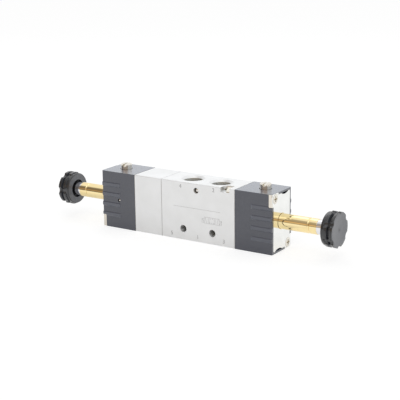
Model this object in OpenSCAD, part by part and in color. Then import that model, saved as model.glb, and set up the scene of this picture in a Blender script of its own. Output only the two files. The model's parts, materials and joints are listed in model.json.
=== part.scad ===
// Five-port, three-position pneumatic valve with two solenoid pilots, shown without its coils.
// X runs along the valve towards the right pilot, Y to the rear and Z up.
// The origin is under the middle of the whole valve, on the face that it stands on.

/* [Section of the stack] */
// Depth of the body, spring block and pilots, front to rear
stack_w = 22; // [21:0.5:26]
// Height of the body, spring block and pilots
stack_h = 35; // [34:0.5:42]
// Chamfer along the long edges of the two metal blocks
block_chamfer = 0.3; // [0.1:0.1:0.6]
// Thickness of the gaskets between the blocks
gasket_t = 0.3; // [0.2:0.1:0.8]
// Inset of a gasket from the outside of the stack
gasket_inset = 0.1; // [0.05:0.05:0.5]

/* [Valve body] */
// Length of the valve body
body_l = 50; // [48:0.5:60]
// Distance between the two top ports
service_pitch = 19.3; // [18.5:0.1:21]
// Distance between the two outer bottom ports
exhaust_pitch = 35.6; // [34:0.2:37]
// Core diameter of the two top ports and the middle bottom port
main_port_d = 11.45; // [10:0.05:12]
// Depth of those three ports
main_port_depth = 7.6; // [6:0.1:8]
// Core diameter of the two outer bottom ports
exhaust_port_d = 8.6; // [7:0.05:9]
// Depth of the outer bottom ports
exhaust_port_depth = 6.5; // [5:0.1:8]
// Width of the countersink round every port
port_chamfer = 1.3; // [0.6:0.1:1.5]
// Countersink round the outer bottom ports
exhaust_chamfer = 0.4; // [0.2:0.1:0.5]
// Diameter of the two mounting holes
mount_hole_d = 4.3; // [3.2:0.1:4.5]
// Distance between the mounting holes
mount_pitch = 20; // [18:0.5:21]
// Height of the mounting holes above the bottom face
mount_z = 6.8; // [5:0.1:7]

/* [Spool bore] */
// Diameter of the spool bore
bore_d = 13; // [12:0.1:13.4]
// Depth of the ring grooves in the bore
groove_depth = 1.3; // [0.8:0.1:1.5]
// Width of each ring groove
groove_w = 4; // [3.4:0.1:4.2]
// Distance of the inner pair of grooves from the middle one
inner_groove_x = 9; // [8.8:0.1:9.4]
// Distance of the outer pair of grooves from the middle one
outer_groove_x = 16.4; // [16:0.1:17]
// Diameter of the passages between the ports and the grooves
passage_d = 3.6; // [2.5:0.1:3.8]
// Travel of the spool to each side of its middle position
spool_travel = 2.4; // [1.8:0.1:2.6]

/* [Pilot air] */
// Diameter of the long pilot air passages
pilot_air_d = 1.8; // [1:0.1:2]
// Distance of a pilot air passage from the middle plane
pilot_air_y = 8.3; // [8:0.1:9]
// Distance of the pilot air passages below the top face
pilot_air_drop = 4.1; // [3.5:0.1:5]
// Place of the cross drilling, from the middle of the body
cross_drill_x = -0.85; // [-0.9:0.05:0.9]
// Diameter of the cross drilling in the body
cross_drill_d = 2; // [1.5:0.1:2.4]
// Diameter of the ball that closes the cross drilling
body_ball_d = 3.4; // [2.6:0.1:4]
// Depth of the ball's outermost point below the front face
ball_sink = 0.4; // [0.1:0.1:1]
// Diameter of the ball that closes the drilling in a pilot
pilot_ball_d = 2; // [1.6:0.1:2.6]
// Depth of that ball's outermost point below the side face
pilot_ball_sink = 0.1; // [0.05:0.05:0.5]
// Distance of the pilot's own air hole below the axis
pilot_hole_drop = 3.6; // [3:0.1:4]

/* [Screws] */
// Diameter of the long screws
screw_d = 3; // [2.5:0.1:3.2]
// Diameter of the countersunk screw heads
screw_head_d = 5.5; // [5:0.1:5.7]
// Height of the heads' cone below the face of the end plate
screw_head_h = 1.3; // [1:0.1:1.8]
// Height of the heads' rounded top above that face
screw_dome_h = 0.25; // [0.1:0.05:0.5]
// Width of the cross recess in the heads
recess_w = 0.8; // [0.6:0.1:1]
// Length of each arm pair of the cross recess
recess_l = 3.2; // [2.4:0.1:3.6]
// Depth of the cross recess
recess_depth = 1; // [0.6:0.1:1.2]
// Distance of the screws from the middle plane
screw_y = 7.5; // [7.2:0.1:7.8]
// Distance of the screws from the top and bottom faces
screw_edge = 3.1; // [3:0.1:3.6]
// Distance across the flats of the nuts
nut_flats = 5.5; // [5:0.1:5.6]
// Thickness of the nuts
nut_t = 2.4; // [1.8:0.1:2.6]
// Thickness of the body wall that the nuts bear on
nut_wall = 3.4; // [2.5:0.1:4]
// Depth of the open part of a nut pocket
pocket_depth = 2.5; // [2:0.1:3]
// Width of the open part of a nut pocket
pocket_w = 5.8; // [5:0.1:6]
// Reach of the left screws into the body
left_screw_grip = 6; // [4:0.5:6.5]
// Room left beyond the end of those screws
tap_runout = 1; // [0.5:0.1:1.5]

/* [Spring block] */
// Length of the spring block
spring_block_l = 19.2; // [18:0.2:26]
// Diameter of the spring chamber
chamber_d = 14; // [13.6:0.1:14.8]
// Thickness of the wall at the left end of the chamber
chamber_wall = 2.6; // [2.4:0.1:4]
// Thickness of the spring washer
washer_t = 1; // [0.6:0.1:1.2]
// Thickness of the collar between the springs
collar_t = 1.6; // [1:0.1:2]
// Outer diameter of the collar
collar_d = 12; // [11.8:0.1:12.6]
// Wire of the centring springs
centring_wire_d = 1; // [0.6:0.1:1.1]
// Mean diameter of the centring springs
centring_mean_d = 10.2; // [9.6:0.1:10.6]
// Diameter of the rod that passes through the spring block
rod_d = 6; // [5:0.1:6.4]
// Diameter of the rod's stud in the spool
rod_stud_d = 4; // [3:0.1:5]
// Length of the rod's stud
rod_stud_l = 6.5; // [5:0.1:8]
// Section of the seal round the rod
rod_ring_d = 1.5; // [1:0.1:1.6]

/* [Spool and pistons] */
// Diameter of the thin stretches of the spool
waist_d = 8; // [7:0.1:8.6]
// Section of the spool's seal rings
spool_ring_d = 1.7; // [1.2:0.1:1.8]
// Wall of the spool on each side of a seal ring
ring_lip = 0.15; // [0.1:0.05:0.3]
// Distance of the inner seal rings from the middle of the spool
ring_x_inner = 6.1; // [6:0.1:6.2]
// Distance of the middle seal rings from the middle of the spool
ring_x_middle = 11.8; // [11.7:0.1:12]
// Diameter of the nose that meets the right piston
nose_d = 7.6; // [6:0.1:8]
// Diameter of the piston bore
piston_bore_d = 17.2; // [16:0.1:17.6]
// Thickness of a piston
piston_t = 5; // [4:0.1:5.4]
// Chamfer on the outer end of a piston
piston_edge = 0.4; // [0.2:0.1:0.8]
// Section of a piston's seal ring
piston_ring_d = 2; // [1.5:0.1:2.4]

/* [Pilot housings] */
// Length of a pilot housing
pilot_l = 24.2; // [23.8:0.1:28]
// Radius of the upright outer corners
corner_r = 0.6; // [0.4:0.1:1.2]
// Distance of the ribs from the inner face
rib_start = 10.6; // [8:0.1:14]
// Height of the lowest rib's middle above the bottom face
rib_first_z = 8.2; // [6:0.1:9]
// Distance between neighbouring ribs
rib_pitch = 6.2; // [5:0.1:6.6]
// Width of a rib
rib_w = 2.7; // [2:0.1:3.2]
// Height of a rib above the side face
rib_h = 0.4; // [0.2:0.1:0.8]
// Width of the slope along each side of a rib
rib_slope = 0.5; // [0.2:0.1:0.8]
// Distance of the pilot's cross drilling from the inner face
feed_x = 11.8; // [11.6:0.1:12.2]
// Thickness of the rim at the sides of the end plate
rim_side = 1.4; // [0.8:0.1:1.8]
// Thickness of the rim above and below the end plate
rim_top = 1.1; // [0.6:0.1:1.4]

/* [End plates] */
// Thickness of an end plate
plate_t = 0.6; // [0.4:0.1:0.8]
// Width of the hollow in the plate's upper and lower edge
scoop_w = 8.4; // [6:0.1:9]
// Depth of that hollow
scoop_depth = 1.1; // [0.6:0.1:1.6]
// Distance of each hollow from the middle, away from the bent corner
scoop_shift = 3.5; // [2:0.1:3.6]
// Radius of the plate's two free corners
plate_corner_r = 1.2; // [0.4:0.1:1.4]
// Outer radius of the bend between plate and tab
bend_r = 0.5; // [0.2:0.1:0.6]
// Depth of the pocket behind each hollow
scoop_pocket = 1.6; // [0.8:0.1:2]
// Distance that the pocket reaches under the plate's edge
scoop_under = 0.6; // [0.3:0.1:1]
// Length of the bent tab along the housing's side
tab_l = 2.3; // [1.5:0.1:3.5]
// Height of the corner that carries the tab
tab_h = 7.6; // [6.6:0.1:8.4]
// Width of that corner
tab_w = 7.2; // [6.8:0.1:7.6]
// Distance of that corner below the housing's top face
tab_inset = 0.1; // [0.05:0.05:0.3]
// Gap between the plate's edge and the rim round it
plate_gap = 0.1; // [0.05:0.01:0.15]

/* [Armature tubes] */
// Outer diameter of the tube
tube_d = 9; // [8.6:0.1:9.4]
// Wall of the tube
tube_wall = 0.5; // [0.3:0.05:0.6]
// Length of tube outside the end plate
tube_reach = 23.6; // [22:0.2:30]
// Diameter of the tube's flange
flange_d = 13; // [12.4:0.1:13.6]
// Thickness of the tube's flange
flange_t = 1.5; // [1:0.1:2]
// Length of the tube behind its flange
skirt_l = 2.6; // [2:0.1:3.2]
// Section of the seal ring behind the flange
tube_ring_d = 1.5; // [1:0.1:1.7]
// Distance of the crimp from the tube's outer end
crimp_x = 5; // [3:0.1:6]
// Depth of the crimp
crimp_depth = 0.35; // [0.2:0.05:0.5]
// Width of the crimp
crimp_w = 1.4; // [1:0.1:2]

/* [Armature and core] */
// Travel of the armature between the nozzle and the core
armature_travel = 1; // [0.5:0.1:1.4]
// Length of the fixed core inside the tube
core_l = 11; // [9:0.5:14]
// Diameter of the core's shoulder outside the tube
stub_d = 8.6; // [8:0.1:8.6]
// Length of the core's shoulder outside the tube
stub_l = 7.4; // [6:0.1:8]
// Diameter of the core's threaded end
stud_d = 5; // [4:0.1:5]
// Length of the core's threaded end
stud_l = 3.4; // [3.2:0.1:3.8]
// Chamfer at the end of the thread
stud_chamfer = 0.5; // [0.3:0.1:0.8]
// Diameter of the air nozzle
nozzle_d = 4; // [3.4:0.1:4.4]
// Height of the nozzle in the armature's room
nozzle_rise = 0.7; // [0.4:0.1:1]
// Distance of the nozzle from the piston's room
nozzle_floor = 0.9; // [0.7:0.1:1.2]
// Hole in the nozzle
orifice_d = 1.2; // [0.8:0.1:1.4]
// Wall round that hole at the nozzle's tip
nozzle_lip = 0.5; // [0.3:0.1:0.8]
// Diameter of the room round the armature's nose
room_d = 10.4; // [10:0.1:11]
// Thickness of the wall between that room and the piston's room
room_wall = 4.2; // [3.8:0.1:5]
// Diameter of the armature's rubber seal
poppet_d = 4.4; // [4:0.1:5]
// Thickness of the armature's rubber seal
poppet_t = 1.7; // [1.2:0.1:2]
// Height of the rubber seal above the armature's nose
poppet_rise = 0.2; // [0.1:0.05:0.4]
// Chamfer round the armature's nose
armature_chamfer = 0.6; // [0.3:0.1:1]
// Side of the two square-cut grooves along the armature
armature_slot = 0.7; // [0.5:0.1:1]
// Wire of the armature spring
armature_wire_d = 0.5; // [0.3:0.05:0.6]
// Mean diameter of the armature spring
armature_mean_d = 3.2; // [2.8:0.1:3.4]
// Depth of the armature's spring hole
spring_hole_l = 8; // [6:0.5:10]

/* [Manual overrides] */
// Distance of an override from the housing's inner face
override_x = 13.75; // [13.5:0.05:15]
// Diameter of the override's head
override_d = 6.8; // [6:0.1:7]
// Height of the head above the housing
override_rise = 3.2; // [2.6:0.1:4]
// Depth of the head in the housing at rest
override_sink = 2; // [1.6:0.1:2.2]
// Travel of the override when it is pressed
override_travel = 1.5; // [1:0.1:1.5]
// Diameter of the override's stem
stem_d = 5; // [4.6:0.1:5.2]
// Width of the screwdriver slot
slot_w = 1; // [0.6:0.1:1.2]
// Depth of the screwdriver slot
slot_depth = 1.2; // [0.6:0.1:1.5]
// Direction of the slot at rest, in degrees from the valve's length
slot_turn = 97; // [0:1:180]
// Chamfer round the top of the head
head_chamfer = 0.4; // [0.2:0.1:0.8]
// Chamfer at the tip of the stem
stem_chamfer = 0.8; // [0.4:0.1:1.2]
// Distance of the stem's tip from the armature's room
stem_stop = 0.5; // [0.3:0.1:0.8]
// Diameter of the pin that keeps the override in
keep_pin_d = 1.5; // [1:0.1:1.5]
// Section of the override's seal ring
override_ring_d = 0.9; // [0.7:0.1:1]
// Thickness of the stem's collars above and below that ring
stem_collar = 0.3; // [0.2:0.1:0.4]
// Wire of the override's spring
override_wire_d = 0.4; // [0.3:0.05:0.4]
// Height of that spring when the override is pressed
pressed_spring_h = 0.9; // [0.8:0.1:1]

/* [Coil nuts] */
// Diameter over the lobes of a coil nut
nut_lobe_d = 20.3; // [19.6:0.1:22]
// Diameter of the smooth rim at the back
nut_rim_d = 19.2; // [18:0.1:20]
// Length of a coil nut
coil_nut_l = 7.4; // [7:0.1:8.4]
// Number of lobes
lobes = 6; // [5:1:8]
// Turn of the right coil nut on its thread, in degrees
right_nut_turn = 0; // [0:1:60]
// Turn of the left coil nut on its thread, in degrees
left_nut_turn = 30; // [0:1:60]
// Depth of the hollows between the lobes
lobe_depth = 1.1; // [0.6:0.05:1.2]
// Radius of the hollows between the lobes
lobe_hollow_r = 2.6; // [1.5:0.1:3]
// Length of the smooth rim
nut_rim_l = 1.9; // [1.4:0.1:2.2]
// Rounding of the rim's back edge
nut_rim_r = 0.7; // [0.3:0.1:1]
// Length of the lobed disc behind the groove
back_disc_l = 2; // [1.6:0.1:2.3]
// Width of the groove between the lobed discs
nut_groove_l = 1.7; // [1.2:0.1:2]
// Diameter at the bottom of that groove
nut_groove_d = 15.6; // [14.4:0.1:16.4]
// Width of the webs across the groove
web_w = 2; // [1.2:0.1:2.6]
// Distance of the webs inside the hollows of the lobes
web_inset = 0.3; // [0.1:0.1:0.6]
// Diameter of the hollow at the back of a coil nut
nut_hollow_d = 11.2; // [11.2:0.1:13.2]
// Depth of that hollow
nut_hollow_l = 2.4; // [2:0.1:2.8]
// Section of the seal ring in the hollow
nut_ring_d = 1; // [0.8:0.05:1]
// Depth of the dish in the front face
dish_depth = 0.25; // [0.1:0.05:0.4]
// Diameter of that dish
dish_d = 17; // [14:0.2:18]
// Room left beyond the end of the core's thread
stud_room = 0.4; // [0.2:0.1:0.5]

/* [Fits] */
// Radial gap of a running fit
run_gap = 0.04; // [0.02:0.01:0.08]
// Radial gap of a hole round a fixed part
fit_gap = 0.1; // [0.05:0.01:0.2]
// Gap between parts that pass each other freely
free_gap = 0.3; // [0.2:0.05:0.4]
// Gap left at the end of a travel
end_gap = 0.15; // [0.1:0.05:0.3]
// Radial gap drawn round pressed and screwed parts
press_gap = 0.02; // [0.01:0.01:0.03]

/* [Hidden] */

$fn = 96;
cut = 0.5;
hair = 0.01;

// Places along the stack
body_x = (spring_block_l + gasket_t) / 2;
body_right = body_x + body_l / 2;
body_left = body_x - body_l / 2;
pilot_right = body_right + gasket_t;
block_right = body_left - gasket_t;
block_left = block_right - spring_block_l;
pilot_left = block_left - gasket_t;

// Heights
axis_z = stack_h / 2;
cross_x = body_x + cross_drill_x;
top_screw_z = stack_h - screw_edge;
pilot_air_z = stack_h - pilot_air_drop;
groove_d = bore_d + 2 * groove_depth;

// Tapped holes of the left screws
tap_depth = left_screw_grip + tap_runout;

// Spool
ring_out_d = bore_d - 2 * run_gap;
land_d = bore_d - 2 * free_gap;
spool_half = body_l / 2 + gasket_t - spool_travel - end_gap;
ring_x_end = spool_half - spool_ring_d / 2 - ring_lip;
ring_land_l = spool_ring_d + 2 * ring_lip;
piston_start = spool_travel + end_gap;
piston_room = piston_t + 2 * piston_start;

// Spring block
chamber_l = spring_block_l - chamber_wall;
spring_room = (chamber_l - washer_t - collar_t) / 2;
rod_bore_d = rod_d + 2 * free_gap;
rod_ring_bore_d = rod_d + 4 * run_gap + 2 * rod_ring_d;

// Pilot, measured from the housing's inner face
plate_back = pilot_l - plate_t;
corner_x = pilot_l - corner_r;
corner_y = stack_w / 2 - corner_r;
flange_back = plate_back - flange_t;
ring_back = flange_back - tube_ring_d;
room_start = piston_room + room_wall;
nozzle_tip = room_start + nozzle_rise;
nozzle_start = piston_room + nozzle_floor;
tube_end = pilot_l + tube_reach;
core_start = tube_end - core_l;
armature_end = core_start - armature_travel - end_gap;
armature_d = tube_d - 2 * tube_wall - 2 * run_gap;
armature_start = nozzle_tip + poppet_rise;
core_d = tube_d - 2 * tube_wall - 2 * run_gap;
stub_end = tube_end + stub_l;
coil_nut_start = stub_end - nut_hollow_l;

// Override, from the top face down
head_bore_d = override_d + 2 * free_gap;
stem_bore_d = stem_d + 2 * run_gap;
head_bore_z = stack_h - override_sink - override_travel - pressed_spring_h;
neck_d = stem_d - 2 * override_ring_d - 2 * run_gap;
ring_neck_half = override_ring_d / 2 + fit_gap;
override_ring_z = head_bore_z - stem_collar - ring_neck_half;
pin_neck_top = override_ring_z - ring_neck_half - stem_collar;
keep_pin_y = neck_d / 2 + keep_pin_d / 2 + fit_gap;
keep_pin_z = pin_neck_top - fit_gap - override_travel - keep_pin_d / 2;
pin_neck_low = keep_pin_z - keep_pin_d / 2;
pin_hole_start = override_x - stem_bore_d / 2 - keep_pin_d / 2;
stem_tip_z = axis_z + room_d / 2 + stem_stop;
stem_bore_z = stem_tip_z - override_travel - end_gap;

// Solids that lie along X
module bar_x(d, x0, x1, y = 0, z = axis_z) {
    translate([x0, y, z]) rotate([0, 90, 0]) cylinder(d = d, h = x1 - x0);
}

module turned_x(x = 0) {
    translate([x, 0, axis_z]) rotate([0, 90, 0]) rotate_extrude() children();
}

module block_x(x0, x1) {
    translate([x0, 0, 0]) rotate([90, 0, 90]) linear_extrude(x1 - x0) polygon([
        [-stack_w / 2 + block_chamfer, 0], [stack_w / 2 - block_chamfer, 0],
        [stack_w / 2, block_chamfer], [stack_w / 2, stack_h - block_chamfer],
        [stack_w / 2 - block_chamfer, stack_h], [-stack_w / 2 + block_chamfer, stack_h],
        [-stack_w / 2, stack_h - block_chamfer], [-stack_w / 2, block_chamfer]]);
}

module at_right() {
    translate([pilot_right, 0, 0]) children();
}

module at_left() {
    translate([pilot_left, 0, 0]) rotate([0, 0, 180]) children();
}

// The two screw places of a right-hand end: top front and bottom rear
module at_screws() {
    translate([0, -screw_y, top_screw_z]) children();
    translate([0, screw_y, screw_edge]) rotate([180, 0, 0]) children();
}

module seal_ring_x(inner_d, section_d, x) {
    turned_x(x) translate([(inner_d + section_d) / 2, 0]) circle(d = section_d, $fn = 32);
}

// A coil of round wire along X, from x = 0 to x = length
module coil_spring(mean_d, wire_d, length, turns) {
    steps = 14;
    sides = 6;
    count = turns * steps;
    rise = length - wire_d - 2 * hair;
    points = [for (i = [0:count]) for (j = [0:sides - 1])
        let (a = 360 * i / steps, b = 360 * j / sides, r = mean_d / 2 + wire_d / 2 * cos(b))
        [hair + wire_d / 2 + rise * i / count + wire_d / 2 * sin(b), r * cos(a), r * sin(a)]];
    walls = [for (i = [0:count - 1]) for (j = [0:sides - 1])
        let (k = (j + 1) % sides, p = i * sides, q = p + sides)
        [p + j, q + j, q + k, p + k]];
    start_cap = [[for (j = [0:sides - 1]) j]];
    end_cap = [[for (j = [sides - 1:-1:0]) count * sides + j]];
    polyhedron(points, concat(walls, start_cap, end_cap));
}

// Ports: a straight hole with a countersunk mouth, cut downwards from z = 0
module port(d, depth, chamfer) {
    translate([0, 0, -depth]) cylinder(d = d, h = depth + cut);
    translate([0, 0, -chamfer]) cylinder(d1 = d, d2 = d + 2 * chamfer + 2 * cut, h = chamfer + cut);
}

module nut_pocket() {
    nut_room = nut_flats / 2 + fit_gap;
    wall_x = body_right - nut_wall;
    open_x = wall_x - pocket_w / 2;
    translate([open_x, -screw_y, stack_h - pocket_depth]) cylinder(d = pocket_w, h = pocket_depth + cut);
    translate([open_x - pocket_w / 2, -stack_w / 2 - cut, stack_h - pocket_depth]) {
        cube([pocket_w, stack_w / 2 + cut - screw_y, pocket_depth + cut]);
    }
    nut_low = top_screw_z - nut_flats / sqrt(3) - fit_gap;
    translate([wall_x - nut_t - fit_gap, -screw_y - nut_room, nut_low]) {
        cube([nut_t + fit_gap, 2 * nut_room, stack_h]);
    }
    bar_x(screw_d + 2 * fit_gap, wall_x - hair, body_right + cut, -screw_y, top_screw_z);
}

module turned_over() {
    translate([0, 0, stack_h]) rotate([180, 0, 0]) children();
}

module valve_body() {
    color([0.88, 0.88, 0.89]) difference() {
        block_x(body_left, body_right);
        bar_x(bore_d, body_left - cut, body_right + cut);
        for (x = [-outer_groove_x, -inner_groove_x, 0, inner_groove_x, outer_groove_x]) {
            bar_x(groove_d, body_x + x - groove_w / 2, body_x + x + groove_w / 2);
        }
        for (side = [-1, 1]) {
            translate([body_x + side * service_pitch / 2, 0, stack_h]) {
                port(main_port_d, main_port_depth, port_chamfer);
            }
            translate([body_x + side * inner_groove_x, 0, axis_z]) {
                cylinder(d = passage_d, h = axis_z - main_port_depth + hair);
            }
            translate([body_x + side * exhaust_pitch / 2, 0, 0]) rotate([180, 0, 0]) {
                port(exhaust_port_d, exhaust_port_depth, exhaust_chamfer);
            }
            translate([body_x + side * outer_groove_x, 0, exhaust_port_depth - hair]) {
                cylinder(d = passage_d, h = axis_z - exhaust_port_depth);
            }
            translate([body_x + side * mount_pitch / 2, 0, mount_z]) rotate([90, 0, 0]) {
                cylinder(d = mount_hole_d, h = stack_w + 2 * cut, center = true);
            }
        }
        translate([body_x, 0, 0]) rotate([180, 0, 0]) port(main_port_d, main_port_depth, port_chamfer);
        translate([body_x, 0, main_port_depth - hair]) {
            cylinder(d = passage_d, h = axis_z - main_port_depth);
        }
        translate([cross_x, 0, axis_z]) cylinder(d = cross_drill_d, h = pilot_air_z - axis_z);
        translate([cross_x, pilot_air_y, pilot_air_z]) rotate([90, 0, 0]) {
            cylinder(d = cross_drill_d, h = pilot_air_y + stack_w / 2);
        }
        translate([cross_x, -stack_w / 2 + body_ball_d + ball_sink, pilot_air_z]) rotate([90, 0, 0]) {
            cylinder(d = body_ball_d, h = body_ball_d + ball_sink + cut);
        }
        bar_x(pilot_air_d, cross_x, body_right + cut, pilot_air_y, pilot_air_z);
        bar_x(pilot_air_d, body_left - cut, cross_x, -pilot_air_y, pilot_air_z);
        nut_pocket();
        turned_over() nut_pocket();
        left_screw_holes(body_left - cut, body_left + tap_depth, screw_d + 2 * press_gap);
    }
}

// Holes for the two screws of the left end: top rear and bottom front
module left_screw_holes(x0, x1, d) {
    bar_x(d, x0, x1, screw_y, top_screw_z);
    bar_x(d, x0, x1, -screw_y, screw_edge);
}

module spring_block() {
    color([0.88, 0.88, 0.89]) difference() {
        block_x(block_left, block_right);
        bar_x(chamber_d, block_left + chamber_wall, block_right + cut);
        bar_x(rod_bore_d, block_left - cut, block_right);
        bar_x(rod_ring_bore_d, block_left - cut, block_left + rod_ring_d + 2 * run_gap);
        bar_x(pilot_air_d, block_left - cut, block_right + cut, -pilot_air_y, pilot_air_z);
        left_screw_holes(block_left - cut, block_right + cut, screw_d + 2 * fit_gap);
    }
}

module gasket(x, hole_d) {
    color([0.16, 0.16, 0.17]) translate([x, 0, 0]) difference() {
        translate([0, -stack_w / 2 + gasket_inset, gasket_inset]) {
            cube([gasket_t, stack_w - 2 * gasket_inset, stack_h - 2 * gasket_inset]);
        }
        bar_x(hole_d, -cut, gasket_t + cut);
        children();
    }
}

module right_gasket_holes() {
    bar_x(pilot_air_d, -cut, gasket_t + cut, pilot_air_y, pilot_air_z);
    at_screws() translate([-cut, 0, 0]) rotate([0, 90, 0]) {
        cylinder(d = screw_d + 2 * fit_gap, h = gasket_t + 2 * cut);
    }
}

module left_gasket_holes() {
    bar_x(pilot_air_d, -cut, gasket_t + cut, -pilot_air_y, pilot_air_z);
    left_screw_holes(-cut, gasket_t + cut, screw_d + 2 * fit_gap);
}

module body_gasket_right() {
    gasket(body_right, bore_d + 2 * free_gap) right_gasket_holes();
}

module body_gasket_left() {
    gasket(block_right, bore_d + 2 * free_gap) left_gasket_holes();
}

module pilot_gasket_left() {
    gasket(pilot_left, rod_d + 2 * free_gap) left_gasket_holes();
}

// Pilot housing
module housing_plan() {
    translate([0, -stack_w / 2]) square([corner_x, stack_w]);
    translate([corner_x - hair, -corner_y]) square([corner_r + hair, 2 * corner_y]);
    for (side = [-1, 1]) translate([corner_x, side * corner_y]) circle(r = corner_r, $fn = 48);
}

// Cross-section of a rib that stands on a face at the distance y
function rib_side(y) = [[y, -rib_w / 2], [y + rib_h, rib_slope - rib_w / 2],
    [y + rib_h, rib_w / 2 - rib_slope], [y, rib_w / 2]];

// One sloped rib on each side, which runs round the outer corners to the end face
module rib_pair() {
    side_y = stack_w / 2;
    top_y = side_y + rib_h + hair;
    intersection() {
        union() {
            for (turn = [0, 180]) rotate([turn, 0, 0]) translate([rib_start, 0, 0]) rotate([90, 0, 90]) {
                linear_extrude(corner_x - rib_start) {
                    polygon(concat([[0, rib_w / 2], [0, -rib_w / 2]], rib_side(side_y)));
                }
            }
            for (side = [-1, 1]) translate([corner_x, side * corner_y, 0]) rotate_extrude($fn = 48) {
                polygon(concat([[0, rib_w / 2], [0, -rib_w / 2]], rib_side(corner_r)));
            }
        }
        translate([0, 0, -rib_w]) linear_extrude(2 * rib_w) polygon([
            [rib_start, -side_y], [rib_start + rib_slope, -top_y], [pilot_l, -top_y],
            [pilot_l, top_y], [rib_start + rib_slope, top_y], [rib_start, side_y]]);
    }
}

// The place that the end plate fills, with two rounded corners and two corners that reach the edges
module plate_outline(gap, top) {
    square_w = stack_w - 2 * rim_side - 2 * gap;
    square_h = stack_h - 2 * rim_top - 2 * gap;
    r = plate_corner_r - gap;
    square([square_w - 2 * r, square_h], center = true);
    square([square_w, square_h - 2 * r], center = true);
    for (turn = [0, 180]) rotate(turn) {
        translate([square_w / 2 - r, square_h / 2 - r]) circle(r = r, $fn = 48);
        translate([-stack_w / 2, stack_h / 2 - tab_h + gap]) square([tab_w - gap, tab_h - gap + top]);
    }
}

module in_end_plane(x, t) {
    translate([x, 0, axis_z]) rotate([90, 0, 90]) linear_extrude(t) children();
}

module tab_place(t, l, gap) {
    translate([pilot_l - l, -stack_w / 2 - cut, stack_h - tab_h - gap]) {
        cube([l + cut, t + cut, tab_h + gap + cut]);
    }
}

module pilot_housing() {
    color([0.25, 0.26, 0.3]) difference() {
        union() {
            linear_extrude(stack_h) housing_plan();
            for (i = [0:3]) translate([0, 0, rib_first_z + i * rib_pitch]) rib_pair();
        }
        // Piston bore, armature room and the seat of the tube
        bar_x(piston_bore_d, -cut, piston_room);
        bar_x(room_d, room_start, pilot_l);
        bar_x(tube_d + 2 * run_gap + 2 * tube_ring_d + 2 * fit_gap, ring_back, pilot_l);
        bar_x(flange_d + 2 * fit_gap, flange_back, pilot_l);
        bar_x(nozzle_d, nozzle_start, room_start + hair);
        // Air from the stack to the nozzle, and on to the piston
        bar_x(pilot_air_d, -cut, feed_x, pilot_air_y, pilot_air_z);
        translate([feed_x, pilot_air_y, axis_z]) cylinder(d = pilot_air_d, h = pilot_air_z - axis_z);
        translate([feed_x, stack_w / 2 + cut, axis_z]) rotate([90, 0, 0]) {
            cylinder(d = orifice_d, h = stack_w / 2 + cut);
        }
        translate([feed_x, stack_w / 2 + cut, axis_z]) rotate([90, 0, 0]) {
            cylinder(d = pilot_ball_d, h = pilot_ball_d + 2 * pilot_ball_sink + cut);
        }
        bar_x(orifice_d, piston_room - hair, room_start + hair, 0, axis_z - pilot_hole_drop);
        // Override
        translate([override_x, 0, stem_bore_z]) cylinder(d = stem_bore_d, h = stack_h);
        translate([override_x, 0, head_bore_z]) cylinder(d = head_bore_d, h = stack_h);
        bar_x(keep_pin_d + 2 * press_gap, pin_hole_start, pilot_l + cut, keep_pin_y, keep_pin_z);
        // End plate, its tabs and the long screws
        in_end_plane(plate_back, plate_t + cut) plate_outline(0, cut);
        tab_place(plate_t + fit_gap, tab_l + fit_gap, 0);
        turned_over() tab_place(plate_t + fit_gap, tab_l + fit_gap, 0);
        scoop_room();
        turned_over() scoop_room();
        at_screws() screw_hole(-cut);
    }
}

// Pocket behind the hollow in the plate's upper edge
module scoop_room() {
    room_h = scoop_depth + scoop_under;
    translate([plate_back - scoop_pocket, scoop_shift - scoop_w / 2, stack_h - rim_top - room_h]) {
        cube([scoop_pocket + cut, scoop_w, room_h]);
    }
}

// Countersunk hole for a long screw, from x = start to the face of the end plate
module screw_hole(start) {
    hole_d = screw_d + 2 * fit_gap;
    flare = (screw_head_d - screw_d) / screw_head_h;
    bar_x(hole_d, start, pilot_l + cut, 0, 0);
    translate([pilot_l - screw_head_h, 0, 0]) rotate([0, 90, 0]) {
        cylinder(d1 = hole_d, d2 = hole_d + flare * (screw_head_h + cut), h = screw_head_h + cut);
    }
}

module end_plate() {
    scoop_r = (pow(scoop_w / 2, 2) + pow(scoop_depth, 2)) / (2 * scoop_depth);
    scoop_y = stack_h / 2 - rim_top - plate_gap - scoop_depth + scoop_r;
    color([0.9, 0.9, 0.88]) difference() {
        union() {
            in_end_plane(plate_back, plate_t) difference() {
                plate_outline(plate_gap, -tab_inset);
                for (side = [-1, 1]) translate([side * scoop_shift, side * scoop_y]) circle(r = scoop_r);
            }
            end_tab();
            turned_over() end_tab();
        }
        tab_bend();
        turned_over() tab_bend();
        bar_x(tube_d + 2 * free_gap, plate_back - cut, pilot_l + cut);
        at_screws() screw_hole(plate_back - cut);
    }
}

// What the bend takes off the sharp corner between plate and tab
module tab_bend() {
    translate([pilot_l - bend_r, -stack_w / 2 + bend_r, stack_h - tab_h - cut]) difference() {
        translate([0, -bend_r - cut, 0]) cube([bend_r + cut, bend_r + cut, tab_h + 2 * cut]);
        translate([0, 0, -cut]) cylinder(r = bend_r, h = tab_h + 4 * cut, $fn = 48);
    }
}

module end_tab() {
    translate([pilot_l - tab_l, -stack_w / 2, stack_h - tab_h + plate_gap]) {
        cube([tab_l - plate_t + hair, plate_t, tab_h - plate_gap - tab_inset]);
    }
}

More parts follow.
